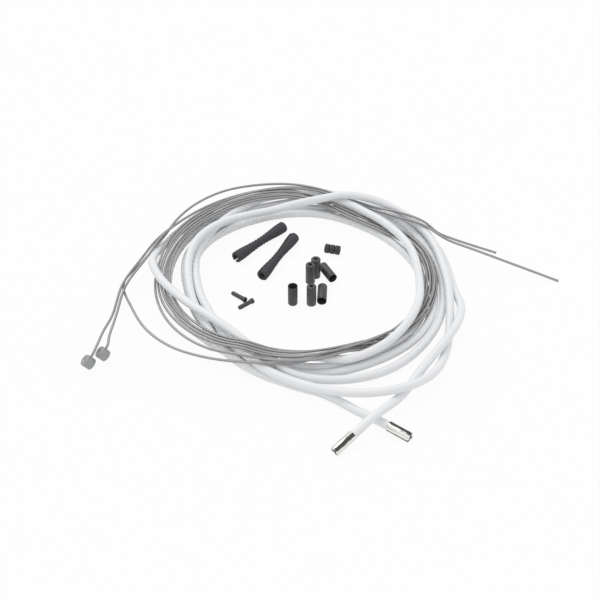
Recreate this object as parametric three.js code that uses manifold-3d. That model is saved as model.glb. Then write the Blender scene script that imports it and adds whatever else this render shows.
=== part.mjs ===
// Bicycle brake cable set, coiled and laid out on a level surface.
//
// One length of brake housing is coiled in six loose turns. Two inner wires lie in the same
// coil in three turns each, with their barrel heads at the left and their bare tails at the
// right. The small fittings lie inside the coil: six housing ferrules, two frame guards,
// three cable rings and two wire end caps.
//
// Units are millimetres and +Z is up. The origin is at the middle of the set's base.

import * as THREE from 'three';
import { mergeVertices } from 'three/addons/utils/BufferGeometryUtils.js';
import Module from 'manifold-3d';

const wasm = await Module();
wasm.setup();

// Driving dimensions
const GAP = 0.3;
const HOUSING_DIAMETER = 5.0;
const WIRE_DIAMETER = 1.5;
const WIRE_HOLE = WIRE_DIAMETER + 2 * GAP;
const WIRE_SNUG_HOLE = WIRE_DIAMETER + GAP;

const HEAD_DIAMETER = 6.9;
const HEAD_LENGTH = 5.8;
const HEAD_CHAMFER = 0.35;
const HEAD_RECESS = 0.5;
const HEAD_RECESS_DIAMETER = 2.6;
const HEAD_RECESS_TAPER = 0.3;
const HEAD_BORE_BOTTOM = 0.5;

const FERRULE_WALL = 0.25;
const FERRULE_SOCKET = HOUSING_DIAMETER + GAP;
const FERRULE_DIAMETER = FERRULE_SOCKET + 2 * FERRULE_WALL;
const FERRULE_LENGTH = 13.8;
const FERRULE_END = 2.3;
const FERRULE_BOTTOM_TAPER = 1;
const FERRULE_SOCKET_DEPTH = FERRULE_LENGTH - FERRULE_END - FERRULE_BOTTOM_TAPER;
const FERRULE_CHAMFER = 0.6;
const HOUSING_END_CLEARANCE = 1;

const GUARD_LENGTH = 43;
const GUARD_END_DIAMETER = 7.1;
const GUARD_WAIST_DIAMETER = 5.0;
const GUARD_MOUTH = 4.2;
const GUARD_MOUTH_DEPTH = 6;
const GUARD_SLIT = 1.2;
const GUARD_EDGE = 0.3;
const GUARD_EDGE_LENGTH = 0.8;
const GUARD_RIBS = 7;
const GUARD_RIB_PITCH = 2.4;
const GUARD_RIB_HEIGHT = 0.2;
const GUARD_WAIST_LENGTH = 4;
const GUARD_STRAIGHT_ENDS = 3;

const RING_DIAMETER = 5.8;
const RING_WIDTH = 3.0;
const RING_ROUNDING = 0.7;

const CAP_LENGTH = 11;
const CAP_DIAMETER = 2.7;
const CAP_MOUTH_DIAMETER = 3.4;
const CAP_MOUTH_LENGTH = 2.2;
const CAP_EDGE = 0.3;
const CAP_CLOSED_END = 2;
const CAP_TAPER = 0.6;

// The coil's middle, and the direction that each clockwise turn is counted from, in degrees
const COIL_MIDDLE = new THREE.Vector2(4, 6);
const TURN_START = 300;
const TURN = 360;

// A cord is laid through keys [turn, radius, height]. The radius is the one at which the cord
// would be seen from the front if it lay at SIGHT_HEIGHT.
const SIGHT_HEIGHT = 5;
const SIGHT_SLOPE = 1.15;

const HOUSING_TURNS = [
  [[20, 94, 2.5], [26, 89.5, 2.5], [33, 84.5, 2.5], [40, 80, 2.5], [48, 77, 2.5], [56, 75.6, 4],
    [66, 73, 6.8], [75, 70.3, 7.3], [90, 67, 7.3], [120, 71, 7.3], [140, 77.5, 9], [155, 80, 11.5],
    [168, 79.5, 12], [180, 77.5, 12], [190, 76.5, 12], [200, 78.5, 12.3], [210, 81.5, 12.5],
    [218, 84, 12], [226, 87.6, 10.5], [234, 91, 9], [244, 93.5, 7.5], [254, 95, 6.5],
    [264, 93, 6.3], [274, 90, 6.8], [284, 87, 7.5], [295, 85.2, 7.7], [308, 85.9, 7],
    [315, 86.8, 5.5], [322, 88.8, 3.5], [332, 93, 2.5], [345, 99, 4.5]],
  [[0, 102, 7.8], [15, 94, 7.8], [30, 84.5, 7.8], [38, 80, 7.8], [47, 75.5, 7.8], [60, 70, 7.6],
    [75, 66, 7.5], [90, 61.5, 7.3], [120, 66, 7.3], [150, 77, 7.3], [165, 81, 7.3],
    [177, 84.5, 7.5], [188, 88, 7.5], [198, 91, 5], [208, 92.2, 2.5], [225, 91, 2.5],
    [240, 89.5, 2.5], [270, 84.5, 2.5], [285, 82.5, 2.5], [300, 81.8, 2.5], [330, 83, 2.5]],
  [[0, 84, 2.5], [30, 78.5, 2.5], [36, 76, 3.5], [42, 71.5, 7], [48, 67, 8], [60, 63, 8.5],
    [75, 62, 8.5], [90, 65.5, 11.8], [105, 74, 11], [120, 87, 9], [130, 95, 7], [138, 97.6, 5],
    [148, 97, 2.5], [156, 94.5, 5], [165, 90.5, 7.5], [175, 87.3, 6], [185, 86.5, 3],
    [195, 86.5, 2.5], [210, 86.8, 2.5], [219, 85.7, 3.5], [230, 81.2, 8.5], [240, 78.3, 9.5],
    [252, 76.5, 9.3], [266, 74.5, 8.7], [275, 72.7, 8], [287, 69.4, 7], [300, 67.3, 6.5],
    [330, 67, 7], [345, 68, 7.3]],
  [[0, 68, 7.3], [15, 66, 6], [30, 62.5, 2.8], [45, 61.3, 2.5], [60, 61.5, 2.5], [90, 63, 2.5],
    [120, 66, 2.5], [150, 75.8, 2.5], [180, 76.3, 2.5], [210, 76.2, 2.5], [240, 71, 2.5],
    [270, 70, 2.5], [300, 72, 2.5], [330, 72, 2.5], [345, 70, 2.5]],
  [[0, 69, 2.5], [30, 68.5, 2.5], [60, 67.5, 2.5], [90, 68.5, 2.5], [120, 71.3, 2.5],
    [150, 81.2, 2.5], [180, 81.5, 2.5], [210, 81.5, 2.5], [240, 84.5, 2.5], [270, 79, 2.5],
    [285, 77.3, 2.5], [300, 76.5, 2.5], [330, 77.3, 2.5]],
  [[0, 74, 2.5], [30, 73, 2.5], [45, 72.8, 2.5], [60, 72.6, 2.5], [72, 72.8, 2.5], [82, 74, 2.5],
    [91, 75.9, 2.5], [101, 78.7, 2.5], [113, 82, 2.5], [150, 88.5, 2.5], [165, 90, 2.5],
    [180, 93, 2.5], [195, 96.5, 2.5], [210, 97.3, 2.5], [240, 95, 2.5], [270, 90.5, 2.5],
    [285, 87.8, 2.5], [298, 87.3, 2.5], [306, 89.8, 3], [313, 92.7, 4.5], [322, 93.8, 7],
    [335, 94, 7.6], [345, 95, 6], [355, 99.5, 3.5]],
  [[0, 102, 4], [6, 106.3, 7.2], [12, 111.4, 9.2]],
];

// The turns at which the wires have a radius, with the bundle's height there
const WIRE_TURNS = [0, 30, 60, 90, 120, 150, 180, 208, 224, 240, 270, 300, 330];
const WIRE_HEIGHTS = [5, 11, 12, 7, 4, 9, 9.5, 8, 5, 3.6, 6, 6.5, 2.5];
const LONG_WIRE = {
  start: [[112, 111.9, 9.3], [120, 109, 8.6], [128, 103.6, 8], [137, 101.4, 8], [147, 101.2, 9],
    [158, 100.8, 9.3], [168, 100.7, 9.5], [180, 100.6, 9.5]],
  firstKey: 7,
  turns: [
    [96.8, 84.2, 79.5, 80.8, 76.5, 70],
    [62.5, 62, 65.3, 75.6, 86.3, 90.3, 90.1, 88.3, 79, 74.7, 77.6, 73, 66.5],
    [62.3, 65.5, 69.2, 80.2, 89.6, 94.2, 94.3, 91.9, 81.8, 77.1, 79, 74.5, 68],
    [62.8, 68, 76, 85.2, 91.5, 96.2, 96.4, 93.7],
  ],
  end: [[1302, 90, 6], [1310, 87.8, 5], [1318, 87.4, 6], [1326, 87.8, 8.5], [1333, 89, 10.5],
    [1340, 91.5, 10.8], [1346, 95, 10.8]],
};
const SHORT_WIRE = {
  start: [[112, 111, 10.8], [120, 107.2, 9], [128, 101.8, 8], [136, 99, 8], [147, 99, 9], [158, 98.6, 9.3],
    [168, 98.5, 9.5], [180, 98.5, 9.5]],
  firstKey: 7,
  turns: [
    [95.3, 83, 78.3, 80, 75.8, 69.2],
    [60.7, 60.5, 63.3, 73, 82, 88.3, 88, 86.5, 77.5, 73.5, 76.8, 72.2, 65.7],
    [61.5, 64, 67.3, 77.8, 87.9, 92.2, 92.2, 90.1, 80.4, 75.9, 78.3, 73.7, 67.2],
    [63.3, 69, 78, 97],
  ],
  end: [[1190, 104.8, 3], [1200, 108.8, 1.8], [1208, 104, 1.2], [1216, 98, 1.5], [1224, 95.5, 5.5],
    [1236, 99.8, 10.5], [1248, 105, 9.5], [1260, 106.8, 9.5], [1272, 104.5, 9], [1281, 101.3, 8.5],
    [1291, 98, 8], [1301, 93, 6], [1310, 89.8, 5], [1318, 90.2, 6], [1326, 90.6, 8.5],
    [1333, 92.4, 10.5], [1340, 94.8, 10.8], [1345, 97, 10.6]],
};

// The straight ends of the cords, outside the coil
// Heights here are those of the ferrules' axes above their resting height
const RIGHT_FERRULE = { mouth: [47.6, -106.1, 0.05], tip: [57.7, -114, 0.05] };
const LEFT_FERRULE = { mouth: [27.6, -114.6, 2], tip: [19.1, -123.4, 0.3] };
const HOUSING_START = [[42.9, -102.4, 2.8], [33, -95.9, 2.6]];
const HOUSING_END = [[36.1, -107.5, 8.2], [31.8, -111.4, 6.5]];
const FRONT_HEAD = [-119.1, -58.4];
const BACK_HEAD = [-111.7, -51.6];
// A head's recessed face and the wire's way out of it both point up from the surface
const HEAD_FACE = new THREE.Vector3(-0.685, -0.029, 0.726).normalize();
const WIRE_DIRECTION = new THREE.Vector3(0.414, 0.806, 0.423).normalize();
const WIRE_OUT_OF_HEAD = 6;
const LONG_WIRE_START = [[-114.6, -47, 8.5], [-112.6, -39, 9.7], [-109.7, -28.7, 9.8]];
const SHORT_WIRE_START = [[-109, -41.5, 8.1], [-107.5, -32.9, 9.8], [-106.5, -26.2, 10.6]];
const LONG_WIRE_END = [
  [92.7, 46.4, 9], [108, 39.4, 7.1], [127.1, 30.6, 4.7],
  [142.3, 23.6, 2.8], [157.6, 16.6, 0.8],
];
const SHORT_WIRE_END = [
  [87.1, 54.6, 8.3], [96.1, 52, 5.7],
  [107.3, 48.7, 3.5], [122.9, 44.1, 0.8],
];

// The small fittings: where each stands or lies, and which way it points in the plan
const STANDING_FERRULES = [
  { name: 'ferrule_1', x: -4.3, y: -3.2, socketUp: true },
  { name: 'ferrule_2', x: 6.3, y: 17, socketUp: false },
  { name: 'ferrule_3', x: 9.6, y: 22.3, socketUp: false },
  { name: 'ferrule_4', x: 6.8, y: -3.2, socketUp: false },
];
const LYING_FERRULES = [
  { name: 'ferrule_5', x: 16.8, y: 22.8, direction: -63 },
  { name: 'ferrule_6', x: 13.3, y: 2.5, direction: -93 },
];
const GUARDS = [
  { name: 'frame_guard_1', x: -25.2, y: 51.7, direction: 47, slit: 60 },
  { name: 'frame_guard_2', x: -13.4, y: 37.5, direction: 63, slit: 210 },
];
const CABLE_RINGS = { x: 20.3, y: 45, direction: -15, count: 3 };
const END_CAPS = [
  { name: 'wire_end_cap_1', x: -36.8, y: 1.4, direction: -39.5 },
  { name: 'wire_end_cap_2', x: -32.3, y: -5.9, direction: 40.5 },
];

const GRID_STEP = 12;
const HOUSING_SIDES = 10;
const WIRE_SIDES = 8;
const FITTING_SIDES = 18;
const GUARD_SIDES = 16;
const CAP_SIDES = 12;

const materials = {
  housing: { color: 0xe6e9ee, roughness: 0.38, metalness: 0 },
  wire: { color: 0x8c8d8f, roughness: 0.35, metalness: 0.9 },
  head: { color: 0x8f9091, roughness: 0.5, metalness: 0.8 },
  chrome: { color: 0xc9c7c2, roughness: 0.15, metalness: 1 },
  black: { color: 0x1c1c1d, roughness: 0.5, metalness: 0 },
  rubber: { color: 0x202021, roughness: 0.7, metalness: 0 },
};

const set = new THREE.Group();

function addMesh(name, geometry, look) {
  const mesh = new THREE.Mesh(geometry, new THREE.MeshStandardMaterial(materials[look]));
  mesh.name = name;
  set.add(mesh);
  return mesh;
}

// Keys of the lay

function housingKeys() {
  return HOUSING_TURNS.flatMap((keys, n) => keys.map(([turn, r, z]) => [TURN * n + turn, r, z]));
}

function wireKeys(wire) {
  const keys = [...wire.start];
  wire.turns.forEach((radii, n) => {
    const first = n === 0 ? wire.firstKey : 0;
    radii.forEach((radius, k) => {
      const place = first + k;
      keys.push([TURN * n + WIRE_TURNS[place], radius, WIRE_HEIGHTS[place]]);
    });
  });
  return [...keys, ...wire.end];
}

// A smooth curve through one column of the keys
function alongKeys(keys, turn, column) {
  let i = keys.findLastIndex((key) => key[0] <= turn);
  i = THREE.MathUtils.clamp(i, 0, keys.length - 2);
  const slopeAt = (k) => {
    const before = keys[Math.max(k - 1, 0)];
    const after = keys[Math.min(k + 1, keys.length - 1)];
    return (after[column] - before[column]) / (after[0] - before[0]);
  };
  const span = keys[i + 1][0] - keys[i][0];
  const s = (turn - keys[i][0]) / span;
  return keys[i][column] * (1 + 2 * s) * (1 - s) ** 2
    + slopeAt(i) * span * s * (1 - s) ** 2
    + keys[i + 1][column] * s * s * (3 - 2 * s)
    + slopeAt(i + 1) * span * s * s * (s - 1);
}

function layCord(diameter, keys) {
  const first = Math.ceil(keys[0][0] / GRID_STEP) * GRID_STEP;
  const last = Math.floor(keys[keys.length - 1][0] / GRID_STEP) * GRID_STEP;
  const cord = { diameter, turn: [], aim: [], r: [], z: [], order: [], tilt: [] };
  for (let turn = first; turn <= last; turn += GRID_STEP) {
    const aim = alongKeys(keys, turn, 1);
    const z = Math.max(alongKeys(keys, turn, 2), diameter / 2);
    const tilt = SIGHT_SLOPE * Math.sin(THREE.MathUtils.degToRad(TURN_START - turn));
    cord.turn.push(turn);
    cord.aim.push(aim);
    cord.z.push(z);
    cord.order.push(z);
    cord.tilt.push(tilt);
    cord.r.push(aim - tilt * (z - SIGHT_HEIGHT));
  }
  return cord;
}

// First stage of the lay: the cords sink onto the surface and onto each other, one radial
// slice at a time, and crossing cords keep the order of their keys. The ends do not sink.

const SETTLE_ROUNDS = 90;
const SETTLE_END_ROUNDS = 15;
const SETTLE_SWEEPS = 3;
const SLICE_CLEARANCE = 0.42;
const SINK = 0.16;
const PULL = 0.2;
const SMOOTH = 0.3;
const THICK_CORD = 2;
const THIN_CORD_PASSES = 3;
const SLICE_REACH = 3;
const CLEAR_ORDER = 1.5;
const STEEP_CONTACT = 0.7;

function slices(cords) {
  const bySlice = new Map();
  for (const cord of cords) {
    cord.turn.forEach((turn, k) => {
      const slice = bySlice.get(turn % TURN) ?? [];
      slice.push([cord, k]);
      bySlice.set(turn % TURN, slice);
    });
  }
  return [...bySlice.values()];
}

// How near two cords pass in the plan around one slice, and zero where they cross
function nearness(a, ka, b, kb) {
  const here = a.r[ka] - b.r[kb];
  let near = Math.abs(here);
  for (const step of [-1, 1]) {
    const p = ka + step;
    const q = kb + step;
    if (p < 0 || q < 0 || p >= a.r.length || q >= b.r.length) continue;
    const there = a.r[p] - b.r[q];
    const between = (here + there) / 2;
    const crossing = between * here <= 0 || there * here <= 0;
    near = crossing ? 0 : Math.min(near, Math.abs(between));
  }
  return near;
}

function partInSlice(a, ka, b, kb) {
  const need = (a.diameter + b.diameter) / 2 + SLICE_CLEARANCE;
  const dr = a.r[ka] - b.r[kb];
  const dz = a.z[ka] - b.z[kb];
  if (Math.abs(dr) > need + SLICE_REACH) return;
  const share = b.diameter / (a.diameter + b.diameter);
  const lift = a.order[ka] - b.order[kb];
  const near = nearness(a, ka, b, kb);
  if (Math.abs(lift) > CLEAR_ORDER && near < STEEP_CONTACT * need) {
    const up = Math.sign(lift);
    const over = Math.sqrt(need * need - near * near) - up * dz;
    if (over > 0) {
      a.z[ka] = Math.max(a.z[ka] + up * share * over, a.diameter / 2);
      b.z[kb] = Math.max(b.z[kb] - up * (1 - share) * over, b.diameter / 2);
      return;
    }
  }
  const distance = Math.hypot(dr, dz);
  if (distance >= need || distance === 0) return;
  const push = (need - distance) / distance;
  a.r[ka] += share * push * dr;
  b.r[kb] -= (1 - share) * push * dr;
  a.z[ka] = Math.max(a.z[ka] + share * push * dz, a.diameter / 2);
  b.z[kb] = Math.max(b.z[kb] - (1 - share) * push * dz, b.diameter / 2);
}

function smoothCord(cord) {
  const moved = cord.r.map((r, k) => r - cord.aim[k]);
  const z = [...cord.z];
  for (let k = 1; k < z.length - 1; k += 1) {
    cord.r[k] += SMOOTH * ((moved[k - 1] + moved[k + 1]) / 2 - moved[k]);
    cord.z[k] += SMOOTH * ((z[k - 1] + z[k + 1]) / 2 - z[k]);
  }
}

function settle(cords) {
  const groups = slices(cords);
  for (let round = 0; round < SETTLE_ROUNDS; round += 1) {
    for (const cord of cords) {
      if (round < SETTLE_ROUNDS - SETTLE_END_ROUNDS) {
        for (let k = 1; k < cord.r.length - 1; k += 1) {
          cord.z[k] -= SINK;
          const seen = cord.aim[k] - cord.tilt[k] * (cord.z[k] - SIGHT_HEIGHT);
          cord.r[k] += PULL * (seen - cord.r[k]);
        }
      }
      const passes = cord.diameter > THICK_CORD ? 1 : THIN_CORD_PASSES;
      for (let pass = 0; pass < passes; pass += 1) smoothCord(cord);
      cord.z = cord.z.map((z) => Math.max(z, cord.diameter / 2));
    }
    for (let sweep = 0; sweep < SETTLE_SWEEPS; sweep += 1) {
      for (const group of groups) {
        for (let i = 1; i < group.length; i += 1) {
          for (let j = 0; j < i; j += 1) partInSlice(...group[i], ...group[j]);
        }
      }
    }
  }
}

// Second stage: every straight stretch is parted from the stretches that it touches

const PART_SWEEPS = 60;
const PART_END_SWEEPS = 20;
const PART_CLEARANCE = 0.4;
const PART_SMOOTH = 0.1;
const OWN_REACH = 8;

function touchingPairs(cords) {
  const sectorCount = TURN / GRID_STEP;
  const sectors = Array.from({ length: sectorCount }, () => []);
  for (const cord of cords) {
    for (let k = 0; k < cord.points.length - 1; k += 1) {
      sectors[(cord.turn[k] / GRID_STEP) % sectorCount].push([cord, k]);
    }
  }
  const pairs = [];
  sectors.forEach((own, s) => {
    const near = [...own, ...sectors[(s + 1) % sectorCount]];
    own.forEach(([a, ka], i) => {
      for (const [b, kb] of near.slice(i + 1)) {
        if (a === b && Math.abs(ka - kb) < OWN_REACH) continue;
        pairs.push([a, ka, b, kb]);
      }
    });
  });
  return pairs;
}

// The places where two straight stretches come closest, as shares of their lengths
function closestPlaces(p, q, e, f) {
  const u = q.clone().sub(p);
  const v = f.clone().sub(e);
  const w = p.clone().sub(e);
  const uu = u.dot(u);
  const vv = v.dot(v);
  const uv = u.dot(v);
  const uw = u.dot(w);
  const vw = v.dot(w);
  const spread = uu * vv - uv * uv;
  let s = spread > 1e-9 ? THREE.MathUtils.clamp((uv * vw - vv * uw) / spread, 0, 1) : 0.5;
  const t = THREE.MathUtils.clamp((uv * s + vw) / vv, 0, 1);
  s = THREE.MathUtils.clamp((uv * t - uw) / uu, 0, 1);
  return [s, t, w.addScaledVector(u, s).addScaledVector(v, -t)];
}

function partStretches(a, ka, b, kb) {
  const need = (a.diameter + b.diameter) / 2 + PART_CLEARANCE;
  const [p, q] = [a.points[ka], a.points[ka + 1]];
  const [e, f] = [b.points[kb], b.points[kb + 1]];
  const [s, t, between] = closestPlaces(p, q, e, f);
  const distance = between.length();
  if (distance >= need || distance < 1e-6) return;
  const share = b.diameter / (a.diameter + b.diameter);
  const push = (need - distance) / distance;
  const pushA = (share * push) / ((1 - s) ** 2 + s * s);
  const pushB = ((1 - share) * push) / ((1 - t) ** 2 + t * t);
  p.addScaledVector(between, pushA * (1 - s));
  q.addScaledVector(between, pushA * s);
  e.addScaledVector(between, -pushB * (1 - t));
  f.addScaledVector(between, -pushB * t);
  for (const [point, cord] of [[p, a], [q, a], [e, b], [f, b]]) {
    point.z = Math.max(point.z, cord.diameter / 2);
  }
}

function partCords(cords) {
  for (const cord of cords) {
    cord.points = cord.turn.map((turn, k) => {
      const angle = THREE.MathUtils.degToRad(TURN_START - turn);
      return new THREE.Vector3(
        COIL_MIDDLE.x + cord.r[k] * Math.cos(angle),
        COIL_MIDDLE.y + cord.r[k] * Math.sin(angle),
        cord.z[k],
      );
    });
    cord.settled = cord.points.map((point) => point.clone());
  }
  const pairs = touchingPairs(cords);
  for (let sweep = 0; sweep < PART_SWEEPS; sweep += 1) {
    if (sweep < PART_SWEEPS - PART_END_SWEEPS) {
      for (const cord of cords) {
        const moved = cord.points.map((point, k) => point.clone().sub(cord.settled[k]));
        for (let k = 1; k < moved.length - 1; k += 1) {
          const middle = moved[k - 1].clone().add(moved[k + 1]).multiplyScalar(0.5);
          cord.points[k].addScaledVector(middle.sub(moved[k]), PART_SMOOTH);
        }
      }
    }
    for (const pair of pairs) partStretches(...pair);
  }
}

// A curve whose even steps fall on its own points, so that a tube bends exactly there
class CordRoute extends THREE.Curve {
  constructor(points) {
    super();
    this.points = points;
  }

  getPoint(share, target = new THREE.Vector3()) {
    const place = share * (this.points.length - 1);
    const k = Math.min(Math.floor(place), this.points.length - 2);
    return target.lerpVectors(this.points[k], this.points[k + 1], place - k);
  }

  getUtoTmapping(share) {
    return share;
  }

  // Halfway between the stretches before and after a point
  getTangent(share, target = new THREE.Vector3()) {
    const k = Math.round(share * (this.points.length - 1));
    const before = this.points[Math.max(k - 1, 0)];
    const here = this.points[k];
    const after = this.points[Math.min(k + 1, this.points.length - 1)];
    const arriving = here.clone().sub(before).normalize();
    const leaving = after.clone().sub(here).normalize();
    return target.addVectors(arriving, leaving).normalize();
  }
}

function cordTube(points, diameter, sides) {
  const section = new THREE.Shape();
  for (let k = 0; k < sides; k += 1) {
    const angle = (2 * Math.PI * k) / sides;
    const x = (diameter / 2) * Math.cos(angle);
    const y = (diameter / 2) * Math.sin(angle);
    if (k === 0) section.moveTo(x, y);
    else section.lineTo(x, y);
  }
  section.closePath();
  return new THREE.ExtrudeGeometry(section, {
    steps: points.length - 1,
    bevelEnabled: false,
    extrudePath: new CordRoute(points),
  });
}

const vectors = (list) => list.map((place) => new THREE.Vector3(...place));

// A lathe part turns about Z from a profile of [radius, height] points

function lathe(profile, sides) {
  const geometry = new THREE.LatheGeometry(profile.map(([r, z]) => new THREE.Vector2(r, z)), sides);
  return geometry.rotateX(Math.PI / 2);
}

function asSolid(geometry) {
  const bare = geometry.clone();
  bare.deleteAttribute('normal');
  bare.deleteAttribute('uv');
  const merged = mergeVertices(bare, 1e-5);
  const index = merged.index ? merged.index.array : [...Array(merged.attributes.position.count).keys()];
  return new wasm.Manifold(new wasm.Mesh({
    numProp: 3,
    vertProperties: new Float32Array(merged.attributes.position.array),
    triVerts: new Uint32Array(index),
  }));
}

function cut(body, tool) {
  const mesh = asSolid(body).subtract(asSolid(tool)).getMesh();
  const geometry = new THREE.BufferGeometry();
  geometry.setAttribute('position', new THREE.BufferAttribute(mesh.vertProperties, 3));
  geometry.setIndex(new THREE.BufferAttribute(mesh.triVerts, 1));
  geometry.computeVertexNormals();
  return geometry;
}

// A ferrule's cup: the socket opens at height 0, and the closed end has a hole for the wire
function ferruleGeometry() {
  const outer = FERRULE_DIAMETER / 2;
  const socket = FERRULE_SOCKET / 2;
  const hole = WIRE_HOLE / 2;
  return lathe([
    [socket, 0],
    [outer, 0],
    [outer, FERRULE_LENGTH - FERRULE_CHAMFER],
    [outer - FERRULE_CHAMFER, FERRULE_LENGTH],
    [hole, FERRULE_LENGTH],
    [hole, FERRULE_SOCKET_DEPTH + FERRULE_BOTTOM_TAPER],
    [socket, FERRULE_SOCKET_DEPTH],
    [socket, 0],
  ], FITTING_SIDES);
}

// A barrel head: its axis is local Z, with the bore for the wire along local Y
function headGeometry() {
  const radius = HEAD_DIAMETER / 2;
  const recess = HEAD_RECESS_DIAMETER / 2;
  const barrel = lathe([
    [0, 0],
    [radius - HEAD_CHAMFER, 0],
    [radius, HEAD_CHAMFER],
    [radius, HEAD_LENGTH - HEAD_CHAMFER],
    [radius - HEAD_CHAMFER, HEAD_LENGTH],
    [recess, HEAD_LENGTH],
    [recess - HEAD_RECESS_TAPER, HEAD_LENGTH - HEAD_RECESS],
    [0, HEAD_LENGTH - HEAD_RECESS],
  ], FITTING_SIDES);
  barrel.translate(0, 0, -HEAD_LENGTH / 2);
  const boreLength = radius + 2 * HEAD_BORE_BOTTOM;
  const bore = new THREE.CylinderGeometry(WIRE_HOLE / 2, WIRE_HOLE / 2, boreLength, CAP_SIDES);
  bore.translate(0, boreLength / 2 - HEAD_BORE_BOTTOM, 0);
  return cut(barrel, bore);
}

// A frame guard: a ribbed rubber sleeve, waisted, open at both ends and slit along its length
function guardGeometry(slitAngle) {
  const end = GUARD_END_DIAMETER / 2;
  const waist = GUARD_WAIST_DIAMETER / 2;
  const half = GUARD_LENGTH / 2;
  const ribHalf = ((GUARD_RIBS - 1) * GUARD_RIB_PITCH) / 2;
  const taperEnd = half - GUARD_STRAIGHT_ENDS;
  const smoothPlaces = [ribHalf + (taperEnd - ribHalf) / 2, taperEnd];
  const outerAt = (z) => {
    const share = THREE.MathUtils.smoothstep(Math.abs(z), GUARD_WAIST_LENGTH / 2, taperEnd);
    return waist + (end - waist) * share;
  };
  const profile = [
    [GUARD_MOUTH / 2, -half],
    [end - GUARD_EDGE, -half],
    [end, -half + GUARD_EDGE_LENGTH],
  ];
  for (const z of smoothPlaces.toReversed()) profile.push([outerAt(z), -z]);
  for (let rib = 0; rib < GUARD_RIBS; rib += 1) {
    const z = -ribHalf + rib * GUARD_RIB_PITCH;
    const groove = GUARD_RIB_PITCH / 4;
    profile.push([outerAt(z) - GUARD_RIB_HEIGHT, z - groove]);
    profile.push([outerAt(z) + GUARD_RIB_HEIGHT, z + groove]);
  }
  for (const z of smoothPlaces) profile.push([outerAt(z), z]);
  profile.push(
    [end, half - GUARD_EDGE_LENGTH],
    [end - GUARD_EDGE, half],
    [GUARD_MOUTH / 2, half],
    [WIRE_HOLE / 2, half - GUARD_MOUTH_DEPTH],
    [WIRE_HOLE / 2, GUARD_MOUTH_DEPTH - half],
    [GUARD_MOUTH / 2, -half],
  );
  const sleeve = lathe(profile, GUARD_SIDES);
  const slit = new THREE.BoxGeometry(GUARD_END_DIAMETER, GUARD_SLIT, GUARD_LENGTH + GUARD_END_DIAMETER);
  slit.translate(end, 0, 0);
  slit.rotateZ(THREE.MathUtils.degToRad(slitAngle));
  return cut(sleeve, slit);
}

// A cable ring: a small rubber ring with rounded edges
function ringGeometry() {
  const hole = WIRE_SNUG_HOLE / 2;
  const outer = RING_DIAMETER / 2;
  const half = RING_WIDTH / 2;
  return lathe([
    [hole, -half],
    [outer - RING_ROUNDING, -half],
    [outer, -half + RING_ROUNDING],
    [outer, half - RING_ROUNDING],
    [outer - RING_ROUNDING, half],
    [hole, half],
    [hole, -half],
  ], GUARD_SIDES);
}

// A wire end cap: a thin closed sleeve with a wider mouth at height 0
function endCapGeometry() {
  const radius = CAP_DIAMETER / 2;
  const mouth = CAP_MOUTH_DIAMETER / 2;
  const bore = WIRE_SNUG_HOLE / 2;
  const boreBottom = CAP_LENGTH - CAP_CLOSED_END;
  return lathe([
    [mouth - CAP_EDGE, 0],
    [mouth, 0],
    [mouth, CAP_MOUTH_LENGTH / 2],
    [radius, CAP_MOUTH_LENGTH],
    [radius, CAP_LENGTH - CAP_TAPER],
    [radius - CAP_TAPER, CAP_LENGTH],
    [0, CAP_LENGTH],
    [0, boreBottom],
    [bore, boreBottom - CAP_TAPER],
    [bore, CAP_MOUTH_LENGTH],
    [mouth - CAP_EDGE, 0],
  ], CAP_SIDES);
}

// Turns a mesh's local +Z to point from one place to another, and puts its origin at the first
function aim(mesh, from, to) {
  const direction = to.clone().sub(from).normalize();
  mesh.quaternion.setFromUnitVectors(new THREE.Vector3(0, 0, 1), direction);
  mesh.position.copy(from);
}

// A direction in the plan, in degrees counter-clockwise from +X
function planDirection(degrees) {
  const angle = THREE.MathUtils.degToRad(degrees);
  return new THREE.Vector3(Math.cos(angle), Math.sin(angle), 0);
}

// The housing's two points in a ferrule: at its mouth, and near the bottom of its socket
function addHousingFerrule(name, place) {
  const rest = new THREE.Vector3(0, 0, FERRULE_DIAMETER / 2);
  const mouth = new THREE.Vector3(...place.mouth).add(rest);
  const inward = new THREE.Vector3(...place.tip).add(rest).sub(mouth);
  aim(addMesh(name, ferruleGeometry(), 'chrome'), mouth, mouth.clone().add(inward));
  inward.setLength(FERRULE_SOCKET_DEPTH - HOUSING_END_CLEARANCE);
  return [mouth, mouth.clone().add(inward)];
}

// A head that leans on the rim of its closed end. The wire's first two points are inside the
// head's bore, and straight out of it.
function addHead(name, place) {
  const head = addMesh(name, headGeometry(), 'head');
  const across = WIRE_DIRECTION.clone().cross(HEAD_FACE).normalize();
  const out = HEAD_FACE.clone().cross(across);
  head.quaternion.setFromRotationMatrix(new THREE.Matrix4().makeBasis(across, out, HEAD_FACE));
  const lean = Math.sqrt(1 - HEAD_FACE.z ** 2);
  head.position.set(...place, (HEAD_LENGTH * HEAD_FACE.z + HEAD_DIAMETER * lean) / 2);
  return [GAP, WIRE_OUT_OF_HEAD].map((far) => head.position.clone().addScaledVector(out, far));
}

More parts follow.
